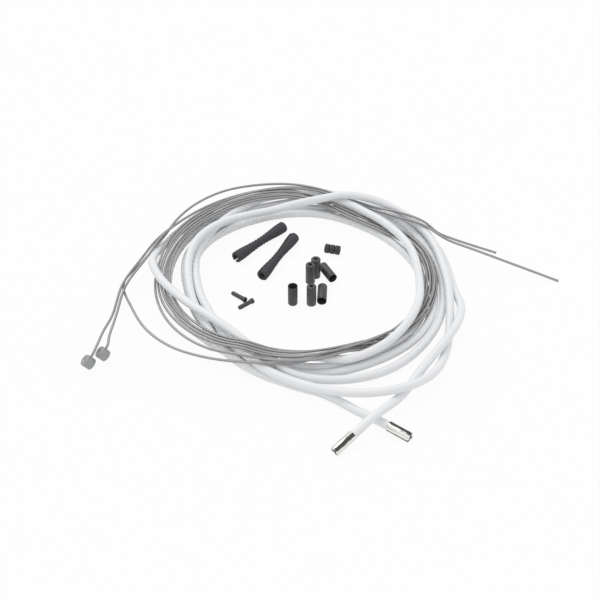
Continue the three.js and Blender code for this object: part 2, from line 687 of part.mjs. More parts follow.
function addCords() {
  const housing = layCord(HOUSING_DIAMETER, housingKeys());
  const longWire = layCord(WIRE_DIAMETER, wireKeys(LONG_WIRE));
  const shortWire = layCord(WIRE_DIAMETER, wireKeys(SHORT_WIRE));
  const cords = [housing, longWire, shortWire];
  settle(cords);
  partCords(cords);

  const housingPoints = [
    ...addHousingFerrule('housing_ferrule_right', RIGHT_FERRULE).toReversed(),
    ...vectors(HOUSING_START),
    ...housing.points,
    ...vectors(HOUSING_END),
    ...addHousingFerrule('housing_ferrule_left', LEFT_FERRULE),
  ];
  addMesh('outer_housing', cordTube(housingPoints, HOUSING_DIAMETER, HOUSING_SIDES), 'housing');

  const longPoints = [
    ...addHead('barrel_head_front', FRONT_HEAD),
    ...vectors(LONG_WIRE_START),
    ...longWire.points,
    ...vectors(LONG_WIRE_END),
  ];
  const shortPoints = [
    ...addHead('barrel_head_back', BACK_HEAD),
    ...vectors(SHORT_WIRE_START),
    ...shortWire.points,
    ...vectors(SHORT_WIRE_END),
  ];
  addMesh('inner_wire_long', cordTube(longPoints, WIRE_DIAMETER, WIRE_SIDES), 'wire');
  addMesh('inner_wire_short', cordTube(shortPoints, WIRE_DIAMETER, WIRE_SIDES), 'wire');
}

function addFerrules() {
  for (const { name, x, y, socketUp } of STANDING_FERRULES) {
    const low = new THREE.Vector3(x, y, 0);
    const high = new THREE.Vector3(x, y, FERRULE_LENGTH);
    const ferrule = addMesh(name, ferruleGeometry(), 'black');
    if (socketUp) aim(ferrule, high, low);
    else aim(ferrule, low, high);
  }
  for (const { name, x, y, direction } of LYING_FERRULES) {
    const middle = new THREE.Vector3(x, y, FERRULE_DIAMETER / 2);
    const along = planDirection(direction).multiplyScalar(FERRULE_LENGTH / 2);
    const ferrule = addMesh(name, ferruleGeometry(), 'black');
    aim(ferrule, middle.clone().add(along), middle.clone().sub(along));
  }
}

function addGuards() {
  for (const { name, x, y, direction, slit } of GUARDS) {
    const middle = new THREE.Vector3(x, y, GUARD_END_DIAMETER / 2);
    const guard = addMesh(name, guardGeometry(slit), 'rubber');
    aim(guard, middle, middle.clone().add(planDirection(direction)));
  }
}

function addRings() {
  const { x, y, direction, count } = CABLE_RINGS;
  const pitch = RING_WIDTH + GAP;
  for (let k = 0; k < count; k += 1) {
    const along = (k - (count - 1) / 2) * pitch;
    const middle = new THREE.Vector3(x, y, RING_DIAMETER / 2);
    middle.addScaledVector(planDirection(direction), along);
    const ring = addMesh(`cable_ring_${k + 1}`, ringGeometry(), 'rubber');
    aim(ring, middle, middle.clone().add(planDirection(direction)));
  }
}

function addEndCaps() {
  for (const { name, x, y, direction } of END_CAPS) {
    const middle = new THREE.Vector3(x, y, CAP_MOUTH_DIAMETER / 2);
    const along = planDirection(direction).multiplyScalar(CAP_LENGTH / 2);
    const cap = addMesh(name, endCapGeometry(), 'black');
    aim(cap, middle.clone().add(along), middle.clone().sub(along));
  }
}

addCords();
addFerrules();
addGuards();
addRings();
addEndCaps();

// The whole set is moved so that its base is centred on the origin
set.updateMatrixWorld(true);
const box = new THREE.Box3().setFromObject(set, true);
const centre = box.getCenter(new THREE.Vector3());
set.position.set(-centre.x, -centre.y, -box.min.z);

export default set;
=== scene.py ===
# Bicycle brake cable set: a coil of white brake housing with two stranded inner wires lying in
# it, and the small fittings of the set inside the coil.
#
# The cords' route is worked out first, in millimetres: keys of turn, radius and height are
# laid, then settled onto the surface and onto each other. Each operator then makes one kind of
# piece around the frame. Lengths are in metres from there on.

import math

import bmesh
import bpy
from mathutils import Matrix, Vector


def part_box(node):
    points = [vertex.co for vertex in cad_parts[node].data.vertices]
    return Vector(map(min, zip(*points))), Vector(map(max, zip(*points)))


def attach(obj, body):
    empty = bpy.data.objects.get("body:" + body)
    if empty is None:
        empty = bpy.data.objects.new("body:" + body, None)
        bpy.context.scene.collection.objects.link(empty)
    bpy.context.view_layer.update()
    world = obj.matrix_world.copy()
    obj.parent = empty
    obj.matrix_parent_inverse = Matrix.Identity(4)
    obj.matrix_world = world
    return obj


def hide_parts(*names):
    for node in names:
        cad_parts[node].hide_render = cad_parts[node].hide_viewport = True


bl_info = {
    "name": "Bicycle brake cable set",
    "version": (1, 0, 0),
    "blender": (4, 5, 0),
    "location": "View3D > Sidebar > Cable set",
    "description": "Coiled brake housing, stranded inner wires and their fittings",
    "category": "Add Mesh",
}

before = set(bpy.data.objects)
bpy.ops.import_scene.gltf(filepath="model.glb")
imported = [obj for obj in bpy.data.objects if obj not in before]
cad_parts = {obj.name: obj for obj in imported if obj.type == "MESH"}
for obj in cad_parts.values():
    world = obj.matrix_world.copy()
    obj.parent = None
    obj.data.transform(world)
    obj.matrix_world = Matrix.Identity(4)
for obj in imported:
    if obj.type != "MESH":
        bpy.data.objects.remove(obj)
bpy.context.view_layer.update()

MM = 0.001
TAU = 2 * math.pi
BODY = "root"

# ---- The cords' lay, in millimetres ----

HOUSING_DIAMETER = 5.0
WIRE_DIAMETER = 1.5

COIL_MIDDLE = Vector((4, 6))
TURN_START = 300
TURN = 360
GRID_STEP = 12

# A key's radius is the one at which the cord would be seen if it lay at SIGHT_HEIGHT. Each
# millimetre higher looks SIGHT_SLOPE further back.
SIGHT_HEIGHT = 5
SIGHT_SLOPE = 1.15

# Keys of turn, radius and height, one row for each turn of the housing
HOUSING_TURNS = [
    [(20, 94, 2.5), (26, 89.5, 2.5), (33, 84.5, 2.5), (40, 80, 2.5), (48, 77, 2.5),
     (56, 75.6, 4), (66, 73, 6.8), (75, 70.3, 7.3), (90, 67, 7.3), (120, 71, 7.3),
     (140, 77.5, 9), (155, 80, 11.5), (168, 79.5, 12), (180, 77.5, 12), (190, 76.5, 12),
     (200, 78.5, 12.3), (210, 81.5, 12.5), (218, 84, 12), (226, 87.6, 10.5), (234, 91, 9),
     (244, 93.5, 7.5), (254, 95, 6.5), (264, 93, 6.3), (274, 90, 6.8), (284, 87, 7.5),
     (295, 85.2, 7.7), (308, 85.9, 7), (315, 86.8, 5.5), (322, 88.8, 3.5), (332, 93, 2.5),
     (345, 99, 4.5)],
    [(0, 102, 7.8), (15, 94, 7.8), (30, 84.5, 7.8), (38, 80, 7.8), (47, 75.5, 7.8),
     (60, 70, 7.6), (75, 66, 7.5), (90, 61.5, 7.3), (120, 66, 7.3), (150, 77, 7.3),
     (165, 81, 7.3), (177, 84.5, 7.5), (188, 88, 7.5), (198, 91, 5), (208, 92.2, 2.5),
     (225, 91, 2.5), (240, 89.5, 2.5), (270, 84.5, 2.5), (285, 82.5, 2.5),
     (300, 81.8, 2.5), (330, 83, 2.5)],
    [(0, 84, 2.5), (30, 78.5, 2.5), (36, 76, 3.5), (42, 71.5, 7), (48, 67, 8),
     (60, 63, 8.5), (75, 62, 8.5), (90, 65.5, 11.8), (105, 74, 11), (120, 87, 9),
     (130, 95, 7), (138, 97.6, 5), (148, 97, 2.5), (156, 94.5, 5), (165, 90.5, 7.5),
     (175, 87.3, 6), (185, 86.5, 3), (195, 86.5, 2.5), (210, 86.8, 2.5), (219, 85.7, 3.5),
     (230, 81.2, 8.5), (240, 78.3, 9.5), (252, 76.5, 9.3), (266, 74.5, 8.7), (275, 72.7, 8),
     (287, 69.4, 7), (300, 67.3, 6.5), (330, 67, 7), (345, 68, 7.3)],
    [(0, 68, 7.3), (15, 66, 6), (30, 62.5, 2.8), (45, 61.3, 2.5), (60, 61.5, 2.5),
     (90, 63, 2.5), (120, 66, 2.5), (150, 75.8, 2.5), (180, 76.3, 2.5), (210, 76.2, 2.5),
     (240, 71, 2.5), (270, 70, 2.5), (300, 72, 2.5), (330, 72, 2.5), (345, 70, 2.5)],
    [(0, 69, 2.5), (30, 68.5, 2.5), (60, 67.5, 2.5), (90, 68.5, 2.5), (120, 71.3, 2.5),
     (150, 81.2, 2.5), (180, 81.5, 2.5), (210, 81.5, 2.5), (240, 84.5, 2.5), (270, 79, 2.5),
     (285, 77.3, 2.5), (300, 76.5, 2.5), (330, 77.3, 2.5)],
    [(0, 74, 2.5), (30, 73, 2.5), (45, 72.8, 2.5), (60, 72.6, 2.5), (72, 72.8, 2.5),
     (82, 74, 2.5), (91, 75.9, 2.5), (101, 78.7, 2.5), (113, 82, 2.5), (150, 88.5, 2.5),
     (165, 90, 2.5), (180, 93, 2.5), (195, 96.5, 2.5), (210, 97.3, 2.5), (240, 95, 2.5),
     (270, 90.5, 2.5), (285, 87.8, 2.5), (298, 87.3, 2.5), (306, 89.8, 3), (313, 92.7, 4.5),
     (322, 93.8, 7), (335, 94, 7.6), (345, 95, 6), (355, 99.5, 3.5)],
    [(0, 102, 4), (6, 106.3, 7.2), (12, 111.4, 9.2)],
]

# The turns at which the wires have a radius, with the bundle's height there
WIRE_TURNS = [0, 30, 60, 90, 120, 150, 180, 208, 224, 240, 270, 300, 330]
WIRE_HEIGHTS = [5, 11, 12, 7, 4, 9, 9.5, 8, 5, 3.6, 6, 6.5, 2.5]
LONG_WIRE = {
    "start": [(112, 111.9, 9.3), (120, 109, 8.6), (128, 103.6, 8), (137, 101.4, 8),
              (147, 101.2, 9), (158, 100.8, 9.3), (168, 100.7, 9.5), (180, 100.6, 9.5)],
    "first_key": 7,
    "turns": [
        [96.8, 84.2, 79.5, 80.8, 76.5, 70],
        [62.5, 62, 65.3, 75.6, 86.3, 90.3, 90.1, 88.3, 79, 74.7, 77.6, 73, 66.5],
        [62.3, 65.5, 69.2, 80.2, 89.6, 94.2, 94.3, 91.9, 81.8, 77.1, 79, 74.5, 68],
        [62.8, 68, 76, 85.2, 91.5, 96.2, 96.4, 93.7],
    ],
    "end": [(1302, 90, 6), (1310, 87.8, 5), (1318, 87.4, 6), (1326, 87.8, 8.5),
            (1333, 89, 10.5), (1340, 91.5, 10.8), (1346, 95, 10.8)],
}
SHORT_WIRE = {
    "start": [(112, 111, 10.8), (120, 107.2, 9), (128, 101.8, 8), (136, 99, 8),
              (147, 99, 9), (158, 98.6, 9.3), (168, 98.5, 9.5), (180, 98.5, 9.5)],
    "first_key": 7,
    "turns": [
        [95.3, 83, 78.3, 80, 75.8, 69.2],
        [60.7, 60.5, 63.3, 73, 82, 88.3, 88, 86.5, 77.5, 73.5, 76.8, 72.2, 65.7],
        [61.5, 64, 67.3, 77.8, 87.9, 92.2, 92.2, 90.1, 80.4, 75.9, 78.3, 73.7, 67.2],
        [63.3, 69, 78, 97],
    ],
    "end": [(1190, 104.8, 3), (1200, 108.8, 1.8), (1208, 104, 1.2), (1216, 98, 1.5),
            (1224, 95.5, 5.5), (1236, 99.8, 10.5), (1248, 105, 9.5), (1260, 106.8, 9.5),
            (1272, 104.5, 9), (1281, 101.3, 8.5), (1291, 98, 8), (1301, 93, 6),
            (1310, 89.8, 5), (1318, 90.2, 6), (1326, 90.6, 8.5), (1333, 92.4, 10.5),
            (1340, 94.8, 10.8), (1345, 97, 10.6)],
}

# The straight ends of the cords, outside the coil
HOUSING_START = [(42.9, -102.4, 2.8), (33, -95.9, 2.6)]
HOUSING_END = [(36.1, -107.5, 8.2), (31.8, -111.4, 6.5)]
LONG_WIRE_START = [(-114.6, -47, 8.5), (-112.6, -39, 9.7), (-109.7, -28.7, 9.8)]
SHORT_WIRE_START = [(-109, -41.5, 8.1), (-107.5, -32.9, 9.8), (-106.5, -26.2, 10.6)]
LONG_WIRE_END = [(92.7, 46.4, 9), (108, 39.4, 7.1), (127.1, 30.6, 4.7),
                 (142.3, 23.6, 2.8), (157.6, 16.6, 0.8)]
SHORT_WIRE_END = [(87.1, 54.6, 8.3), (96.1, 52, 5.7), (107.3, 48.7, 3.5), (122.9, 44.1, 0.8)]

# In each round the cords sink, are pulled towards their aims, smoothed, and parted in radial
# slices. The end rounds only smooth and part them.
SETTLE_ROUNDS = 90
SETTLE_END_ROUNDS = 15
SETTLE_SWEEPS = 3
SLICE_CLEARANCE = 0.42
SINK = 0.16
PULL = 0.2
SMOOTH = 0.3
# A cord under this diameter is smoothed more often
THICK_CORD = 2
THIN_CORD_PASSES = 3
# Cords this far beyond touching don't meet. Where keys differ in height by CLEAR_ORDER, the
# higher cord stays on top where they pass within a STEEP_CONTACT share of touching.
SLICE_REACH = 3
CLEAR_ORDER = 1.5
STEEP_CONTACT = 0.7

# Then the stretches between their points are pushed apart in space
PART_SWEEPS = 60
PART_END_SWEEPS = 20
PART_CLEARANCE = 0.4
PART_SMOOTH = 0.1
# Nearer stretches of one cord, in steps, aren't parted
OWN_REACH = 8
PARALLEL = 1e-9
COINCIDENT = 1e-6


def housing_keys():
    """The housing's keys, with the turns counted on."""
    return [(TURN * n + turn, r, z) for n, keys in enumerate(HOUSING_TURNS)
            for turn, r, z in keys]


def wire_keys(wire):
    """A wire's keys, from its radii in each turn."""
    keys = list(wire["start"])
    for n, radii in enumerate(wire["turns"]):
        first = wire["first_key"] if n == 0 else 0
        for place, radius in enumerate(radii, first):
            keys.append((TURN * n + WIRE_TURNS[place], radius, WIRE_HEIGHTS[place]))
    return keys + wire["end"]


def along_keys(keys, turn, column):
    """A smooth curve through one column of the keys."""
    i = max((k for k, key in enumerate(keys) if key[0] <= turn), default=0)
    i = min(i, len(keys) - 2)

    def slope_at(k):
        before = keys[max(k - 1, 0)]
        after = keys[min(k + 1, len(keys) - 1)]
        return (after[column] - before[column]) / (after[0] - before[0])

    span = keys[i + 1][0] - keys[i][0]
    s = (turn - keys[i][0]) / span
    return (keys[i][column] * (1 + 2 * s) * (1 - s) ** 2
            + slope_at(i) * span * s * (1 - s) ** 2
            + keys[i + 1][column] * s * s * (3 - 2 * s)
            + slope_at(i + 1) * span * s * s * (s - 1))


class Lay:
    """A cord's lay in the coil: its radius and height at every grid step."""

    def __init__(self, diameter, keys):
        self.diameter = diameter
        first = math.ceil(keys[0][0] / GRID_STEP) * GRID_STEP
        last = math.floor(keys[-1][0] / GRID_STEP) * GRID_STEP
        self.turn = list(range(first, last + 1, GRID_STEP))
        self.aim = [along_keys(keys, turn, 1) for turn in self.turn]
        self.z = [max(along_keys(keys, turn, 2), diameter / 2) for turn in self.turn]
        self.order = list(self.z)
        self.tilt = [SIGHT_SLOPE * math.sin(math.radians(TURN_START - turn))
                     for turn in self.turn]
        self.r = [self.seen(k) for k in range(len(self.turn))]
        self.points = []

    def seen(self, k):
        """The radius at which step k is seen where its key aims."""
        return self.aim[k] - self.tilt[k] * (self.z[k] - SIGHT_HEIGHT)

    def raise_to_surface(self):
        """Puts every step at or above the surface."""
        self.z = [max(z, self.diameter / 2) for z in self.z]

    def smooth(self):
        """Evens out the heights, and what moved the radii away from their aims."""
        moved = [r - aim for r, aim in zip(self.r, self.aim)]
        z = list(self.z)
        for k in range(1, len(z) - 1):
            self.r[k] += SMOOTH * ((moved[k - 1] + moved[k + 1]) / 2 - moved[k])
            self.z[k] += SMOOTH * ((z[k - 1] + z[k + 1]) / 2 - z[k])

    def place_points(self):
        """The points of the settled lay, in the plan and in height."""
        for turn, r, z in zip(self.turn, self.r, self.z):
            angle = math.radians(TURN_START - turn)
            plan = COIL_MIDDLE + r * Vector((math.cos(angle), math.sin(angle)))
            self.points.append(plan.to_3d() + Vector((0, 0, z)))


def nearness(a, ka, b, kb):
    """How near two cords pass in the plan around one slice, and zero where they cross."""
    here = a.r[ka] - b.r[kb]
    near = abs(here)
    for step in (-1, 1):
        p, q = ka + step, kb + step
        if min(p, q) < 0 or p >= len(a.r) or q >= len(b.r):
            continue
        there = a.r[p] - b.r[q]
        between = (here + there) / 2
        crossing = between * here <= 0 or there * here <= 0
        near = 0 if crossing else min(near, abs(between))
    return near


def part_in_slice(a, ka, b, kb):
    """Pushes two cords apart in one radial slice of the coil."""
    need = (a.diameter + b.diameter) / 2 + SLICE_CLEARANCE
    dr = a.r[ka] - b.r[kb]
    dz = a.z[ka] - b.z[kb]
    if abs(dr) > need + SLICE_REACH:
        return
    share = b.diameter / (a.diameter + b.diameter)
    lift = a.order[ka] - b.order[kb]
    near = nearness(a, ka, b, kb)
    if abs(lift) > CLEAR_ORDER and near < STEEP_CONTACT * need:
        up = math.copysign(1, lift)
        over = math.sqrt(need * need - near * near) - up * dz
        if over > 0:
            a.z[ka] = max(a.z[ka] + up * share * over, a.diameter / 2)
            b.z[kb] = max(b.z[kb] - up * (1 - share) * over, b.diameter / 2)
            return
    distance = math.hypot(dr, dz)
    if distance >= need or distance == 0:
        return
    push = (need - distance) / distance
    a.r[ka] += share * push * dr
    b.r[kb] -= (1 - share) * push * dr
    a.z[ka] = max(a.z[ka] + share * push * dz, a.diameter / 2)
    b.z[kb] = max(b.z[kb] - (1 - share) * push * dz, b.diameter / 2)


def settle(cords):
    """Sinks the cords onto the surface and onto each other, apart from their ends."""
    groups = {}
    for cord in cords:
        for k, turn in enumerate(cord.turn):
            groups.setdefault(turn % TURN, []).append((cord, k))
    for settle_round in range(SETTLE_ROUNDS):
        for cord in cords:
            if settle_round < SETTLE_ROUNDS - SETTLE_END_ROUNDS:
                for k in range(1, len(cord.r) - 1):
                    cord.z[k] -= SINK
                    cord.r[k] += PULL * (cord.seen(k) - cord.r[k])
            passes = 1 if cord.diameter > THICK_CORD else THIN_CORD_PASSES
            for _ in range(passes):
                cord.smooth()
            cord.raise_to_surface()
        for _ in range(SETTLE_SWEEPS):
            for group in groups.values():
                for i in range(1, len(group)):
                    for j in range(i):
                        part_in_slice(*group[i], *group[j])


def touching_pairs(cords):
    """The pairs of straight stretches that lie in the same part of the coil."""
    count = TURN // GRID_STEP
    sectors = [[] for _ in range(count)]
    for cord in cords:
        for k in range(len(cord.points) - 1):
            sectors[cord.turn[k] // GRID_STEP % count].append((cord, k))
    pairs = []
    for s, own in enumerate(sectors):
        near = own + sectors[(s + 1) % count]
        for i, (a, ka) in enumerate(own):
            for b, kb in near[i + 1:]:
                if a is not b or abs(ka - kb) >= OWN_REACH:
                    pairs.append((a, ka, b, kb))
    return pairs


def closest_places(p, q, e, f):
    """Where two straight stretches come closest, as shares of their lengths."""
    u, v, w = q - p, f - e, p - e
    uu, vv, uv, uw, vw = u.dot(u), v.dot(v), u.dot(v), u.dot(w), v.dot(w)
    spread = uu * vv - uv * uv
    s = min(max((uv * vw - vv * uw) / spread, 0), 1) if spread > PARALLEL else 0.5
    t = min(max((uv * s + vw) / vv, 0), 1)
    s = min(max((uv * t - uw) / uu, 0), 1)
    return s, t, w + u * s - v * t


def part_stretches(a, ka, b, kb):
    """Pushes two straight stretches apart where they come closest."""
    need = (a.diameter + b.diameter) / 2 + PART_CLEARANCE
    p, q = a.points[ka], a.points[ka + 1]
    e, f = b.points[kb], b.points[kb + 1]
    s, t, between = closest_places(p, q, e, f)
    distance = between.length
    if distance >= need or distance < COINCIDENT:
        return
    share = b.diameter / (a.diameter + b.diameter)
    push = (need - distance) / distance
    push_a = share * push / ((1 - s) ** 2 + s * s)
    push_b = (1 - share) * push / ((1 - t) ** 2 + t * t)
    p += between * (push_a * (1 - s))
    q += between * (push_a * s)
    e -= between * (push_b * (1 - t))
    f -= between * (push_b * t)
    for point, cord in ((p, a), (q, a), (e, b), (f, b)):
        point.z = max(point.z, cord.diameter / 2)


def part_cords(cords):
    """Parts every straight stretch from the stretches that it touches."""
    for cord in cords:
        cord.place_points()
    settled = [[point.copy() for point in cord.points] for cord in cords]
    pairs = touching_pairs(cords)
    for sweep in range(PART_SWEEPS):
        if sweep < PART_SWEEPS - PART_END_SWEEPS:
            for cord, places in zip(cords, settled):
                moved = [point - place for point, place in zip(cord.points, places)]
                for k in range(1, len(moved) - 1):
                    middle = (moved[k - 1] + moved[k + 1]) / 2
                    cord.points[k] += (middle - moved[k]) * PART_SMOOTH
        for pair in pairs:
            part_stretches(*pair)


def laid_cords():
    """The coiled points of the housing, the long wire and the short wire."""
    housing = Lay(HOUSING_DIAMETER, housing_keys())
    wires = [Lay(WIRE_DIAMETER, wire_keys(wire)) for wire in (LONG_WIRE, SHORT_WIRE)]
    cords = [housing, *wires]
    settle(cords)
    part_cords(cords)
    return [cord.points for cord in cords]


# ---- Where the fittings lie, in millimetres of the same plan ----

# Left between a wire and its bore, and between neighbours
GAP = 0.3
FRONT_HEAD = (-119.1, -58.4)
BACK_HEAD = (-111.7, -51.6)
HEAD_FACE = Vector((-0.685, -0.029, 0.726)).normalized()
WIRE_DIRECTION = Vector((0.414, 0.806, 0.423)).normalized()
WIRE_OUT_OF_HEAD = 6
# The mouth and the tip of each ferrule on the housing, under its middle line
RIGHT_FERRULE = ((47.6, -106.1, 0.05), (57.7, -114, 0.05))
LEFT_FERRULE = ((27.6, -114.6, 2), (19.1, -123.4, 0.3))
FERRULE_SOCKET_DEPTH = 10.5
HOUSING_END_CLEARANCE = 1
# Place, and whether the socket is up
STANDING_FERRULES = [
    ("ferrule_1", -4.3, -3.2, True),
    ("ferrule_2", 6.3, 17, False),
    ("ferrule_3", 9.6, 22.3, False),
    ("ferrule_4", 6.8, -3.2, False),
]
# Place, and the direction in degrees of the open end
LYING_FERRULES = [("ferrule_5", 16.8, 22.8, -63), ("ferrule_6", 13.3, 2.5, -93)]
# Place, direction, and the slit's turn about the sleeve
GUARDS = [("frame_guard_1", -25.2, 51.7, 47, 60), ("frame_guard_2", -13.4, 37.5, 63, 210)]
GUARD_SLIT = 1.2
# Place, direction and number
CABLE_RINGS = (20.3, 45, -15, 3)
END_CAPS = [("wire_end_cap_1", -36.8, 1.4, -39.5), ("wire_end_cap_2", -32.3, -5.9, 40.5)]


# ---- Settings ----


def length_setting(name, description, default):
    """A length in metres, given in millimetres."""
    return bpy.props.FloatProperty(
        name=name, description=description, default=default * MM, min=0.0, unit="LENGTH")


def colour_setting(name, description, default):
    """A colour as the shader takes it."""
    return bpy.props.FloatVectorProperty(
        name=name, description=description, default=default, size=3, min=0.0, max=1.0,
        subtype="COLOR")


class CABLESET_PG_cords(bpy.types.PropertyGroup):
    """Sizes and colours of the housing and the wires"""

    housing_diameter: length_setting(
        "Housing", "Outside diameter of the housing", HOUSING_DIAMETER)
    wire_diameter: length_setting("Wire", "Diameter of an inner wire", WIRE_DIAMETER)
    strand_lay: length_setting("Strand lay", "Length in which a strand goes round once", 12.6)
    strands: bpy.props.IntProperty(
        name="Strands", description="Strands seen on the outside of a wire", default=12)
    housing_colour: colour_setting("Housing", "Cover of the housing", (0.86, 0.87, 0.885))
    wire_colour: colour_setting("Wire", "Bare strands", (0.37, 0.37, 0.375))


class CABLESET_PG_fittings(bpy.types.PropertyGroup):
    """Sizes and colours of the small fittings"""

    head_diameter: length_setting("Head diameter", "Diameter of a barrel head", 6.9)
    head_length: length_setting("Head length", "Length of a barrel head", 5.8)
    ferrule_diameter: length_setting("Ferrule diameter", "Outside of a ferrule", 5.8)
    ferrule_length: length_setting("Ferrule length", "Length of a ferrule", 13.8)
    guard_length: length_setting("Guard length", "Length of a frame guard", 43.0)
    guard_end: length_setting("Guard end", "Diameter of a frame guard's ends", 7.1)
    guard_waist: length_setting("Guard waist", "Diameter of a frame guard's waist", 5.0)
    ring_diameter: length_setting("Ring diameter", "Outside of a cable ring", 5.8)
    ring_width: length_setting("Ring width", "Width of a cable ring", 3.0)
    cap_length: length_setting("Cap length", "Length of a wire end cap", 11.0)
    cap_diameter: length_setting("Cap diameter", "Diameter of a wire end cap", 2.7)
    head_colour: colour_setting("Heads", "Cast metal of the heads", (0.36, 0.365, 0.37))
    plated_colour: colour_setting("Plated", "Bright plating", (0.86, 0.85, 0.82))
    plastic_colour: colour_setting("Plastic", "Black plastic", (0.008, 0.008, 0.009))
    rubber_colour: colour_setting("Rubber", "Black rubber", (0.010, 0.010, 0.010))


class CABLESET_PG_stage(bpy.types.PropertyGroup):
    """The camera and the light"""

    elevation: bpy.props.FloatProperty(
        name="Elevation", description="How steeply the camera looks down",
        default=math.radians(41), subtype="ANGLE")
    distance: length_setting("Distance", "From the camera to the middle", 750.0)
    lens: bpy.props.FloatProperty(
        name="Lens", description="Focal length for a 36 mm sensor", default=75.0,
        subtype="DISTANCE_CAMERA")
    sky: bpy.props.FloatProperty(
        name="Sky", description="Strength of the light from all round", default=0.8)
    sun: bpy.props.FloatProperty(
        name="Key light", description="Strength of the soft key light", default=0.68)


def settings(group):
    """One of the three groups of settings."""
    return getattr(bpy.context.scene, f"cable_set_{group}")


# ---- Materials ----


class Value:
    """A shader socket that takes part in arithmetic."""

    def __init__(self, finish, socket):
        self.finish = finish
        self.socket = socket

    def maths(self, operation, *others):
        """A Math node on this value and others."""
        return self.finish.node("ShaderNodeMath", {"operation": operation}, (self, *others))

    def __add__(self, other):
        return self.maths("ADD", other)

    def __mul__(self, other):
        return self.maths("MULTIPLY", other)

    __radd__ = __add__
    __rmul__ = __mul__

    def ramp(self, low, high, to_low=0.0, to_high=1.0):
        """This value carried smoothly from one range to another."""
        return self.finish.node("ShaderNodeMapRange", {"interpolation_type": "SMOOTHSTEP"}, {
            "Value": self, "From Min": low, "From Max": high,
            "To Min": to_low, "To Max": to_high})


class Finish:
    """A material, or a world, and its nodes."""

    def __init__(self, owner):
        owner.use_nodes = True
        self.owner = owner
        self.tree = owner.node_tree
        self.tree.nodes.clear()

    def node(self, kind, options=None, inputs=(), output=0):
        """Adds a node, sets its options, then gives its sockets numbers or links."""
        node = self.tree.nodes.new(kind)
        for name, option in (options or {}).items():
            setattr(node, name, option)
        items = inputs.items() if isinstance(inputs, dict) else enumerate(inputs)
        for name, given in items:
            if isinstance(given, Value):
                self.tree.links.new(given.socket, node.inputs[name])
            else:
                node.inputs[name].default_value = given
        return Value(self, node.outputs[output]) if node.outputs else node

    def place(self):
        """Object coordinates, which are metres of the frame."""
        return self.node("ShaderNodeTexCoord", output="Object")

    def own_place(self):
        """A turned piece's coordinates before it was placed, in metres."""
        return self.node("ShaderNodeAttribute", {"attribute_name": "own_place"},
                         output="Vector")

    def noise(self, vector, scale, detail):
        """Even noise from 0 to 1 with this many waves to the metre."""
        return self.node("ShaderNodeTexNoise", inputs={
            "Vector": vector, "Scale": scale, "Detail": detail})

    def mix(self, factor, low, high):
        """A colour between two colours."""
        return self.node("ShaderNodeMix", {"data_type": "RGBA"}, {
            "Factor": factor, 6: low, 7: high}, output=2)

    def bump(self, height, strength, distance):
        """A normal from a height in metres of the given distance."""
        return self.node("ShaderNodeBump", inputs={
            "Height": height, "Strength": strength, "Distance": distance})

    def surface(self, **sockets):
        """The principled surface, and the material itself."""
        inputs = {name.replace("_", " ").title().replace("Ior", "IOR"): given
                  for name, given in sockets.items()}
        shader = self.node("ShaderNodeBsdfPrincipled", inputs=inputs)
        self.node("ShaderNodeOutputMaterial", inputs={"Surface": shader})
        return self.owner


def rgba(colour, factor=1.0):
    """A colour with its alpha, brighter or darker by a factor."""
    return (*(min(part * factor, 1.0) for part in colour), 1.0)


def once(build):
    """The material that a function builds, built the first time that it is asked for."""
    name = build.__name__
    material = bpy.data.materials.get(name)
    return material or build(Finish(bpy.data.materials.new(name)))


def white_cover(finish):
    """Soft white plastic cover: a cool white, slightly uneven in gloss."""
    colour = settings("cords").housing_colour
    cloud = finish.noise(finish.place(), 60.0, 2.0)
    grain = finish.noise(finish.place(), 2600.0, 2.0)
    return finish.surface(
        base_color=finish.mix(cloud, rgba(colour, 0.965), rgba(colour, 1.03)),
        roughness=cloud.ramp(0.3, 0.7, 0.3, 0.42),
        normal=finish.bump(grain, 0.25, 0.00003))


def bare_strands(finish):
    """Drawn steel wire, a little uneven in tone and roughness in patches."""
    colour = settings("cords").wire_colour
    patch = finish.noise(finish.place(), 220.0, 3.0)
    return finish.surface(
        base_color=finish.mix(patch, rgba(colour, 0.8), rgba(colour, 1.2)),
        metallic=0.9,
        roughness=patch.ramp(0.3, 0.7, 0.42, 0.56))


def cast_metal(finish):
    """Dull grey cast metal with a fine skin."""
    colour = settings("fittings").head_colour
    skin = finish.noise(finish.own_place(), 900.0, 4.0)
    grain = finish.noise(finish.own_place(), 5200.0, 3.0)
    return finish.surface(
        base_color=finish.mix(skin, rgba(colour, 0.85), rgba(colour, 1.15)),
        metallic=0.75,
        roughness=skin.ramp(0.3, 0.7, 0.4, 0.58),
        normal=finish.bump(grain, 0.5, 0.00004))


def plating_with_painted_reflections(finish):
    """Bright plating with painted reflections: darker streaks painted into its colour along the
    tube, like those that a polished tube mirrors along itself.
    """
    colour = settings("fittings").plated_colour
    x, y = (finish.node("ShaderNodeSeparateXYZ", inputs=(finish.own_place(),), output=name)
            for name in "XY")
    # Painted reflections: streaks set by the turn about the tube's axis, wandering a little
    turn = y.maths("ARCTAN2", x)
    wander = finish.noise(finish.own_place(), 300.0, 2.0)
    painted_streak = (turn * 3.0 + wander * 1.4).maths("SINE").ramp(-0.1, 0.75)
    fine = (turn * 11.0 + wander * 3.0).maths("SINE").ramp(0.5, 1.0)
    painted_reflection = painted_streak.maths("MAXIMUM", fine * 0.5)
    return finish.surface(
        # The painted reflection streaks take the plating's colour down to 9 per cent
        base_color=finish.mix(painted_reflection, rgba(colour), rgba(colour, 0.09)),
        metallic=1.0,
        roughness=wander.ramp(0.3, 0.7, 0.1, 0.18))


